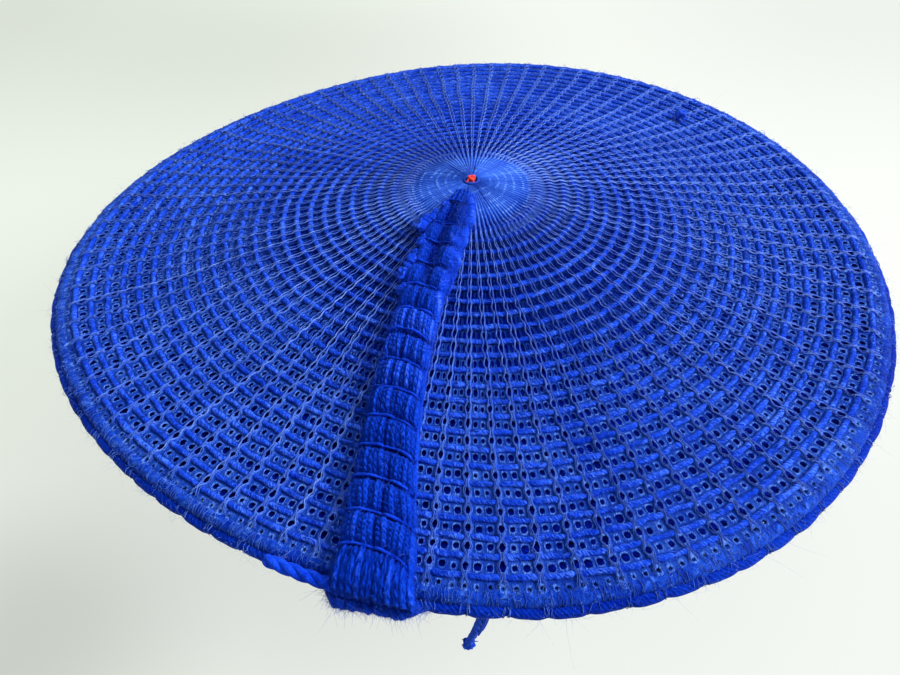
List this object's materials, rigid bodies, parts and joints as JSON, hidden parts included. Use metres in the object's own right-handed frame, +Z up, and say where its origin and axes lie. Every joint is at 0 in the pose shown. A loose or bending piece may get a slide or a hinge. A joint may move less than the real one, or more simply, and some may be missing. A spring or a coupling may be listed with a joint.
{
  "type": "flared disc hat with a shallow cone crown",
  "caption": "Wide flared hat with a shallow cone crown of blue netting darned with rings of yarn, a raised seam strip, a corded rim and a narrow head opening.",
  "frame": {"origin": "centre of the head opening, on the surface that the hat stands on", "axes": "+Z up through the crown's point, -Y towards the seam, +X to the right as seen from the seam"},
  "size_m": [0.4299, 0.4346, 0.1673],
  "materials": {
    "yarn": "soft twisted two-ply yarn",
    "rim_yarn": "soft yarn wound and corded",
    "seam_yarn": "chain-stitched yarn",
    "netting": "slightly shiny fine knitted netting",
    "stiff_cloth": "matt dark stiff cloth",
    "band_cloth": "woven tape",
    "lining_cloth": "plain-woven cotton",
    "red_thread": "thick thread",
    "cane": "split cane",
    "hoop_wire": "drawn wire"
  },
  "bodies": {
    "root": {"rim_hoop": "hoop_wire", "mid_hoop": "hoop_wire", "head_hoop": "hoop_wire", "crown_hub": "cane", "crown_spokes": "cane", "side_stays": "cane", "crown_foundation": "stiff_cloth", "side_foundation": "stiff_cloth", "crown_net": "netting", "side_net": "netting", "net_drawstring": "netting", "crown_ring_yarns": "yarn", "side_ring_yarns": "yarn", "rim_binding": "rim_yarn", "rim_cord": "rim_yarn", "seam_strip": "seam_yarn", "seam_stitches": "yarn", "seam_cord_end": "rim_yarn", "side_seam": "seam_yarn", "edge_binding": "band_cloth", "headband": "band_cloth", "headband_piping": "rim_yarn", "lining": "lining_cloth", "lining_tip": "lining_cloth", "apex_tie": "red_thread", "darn_knot": "yarn", "yarn_tail": "yarn", "tail_knot": "yarn"}
  },
  "joints": []
}
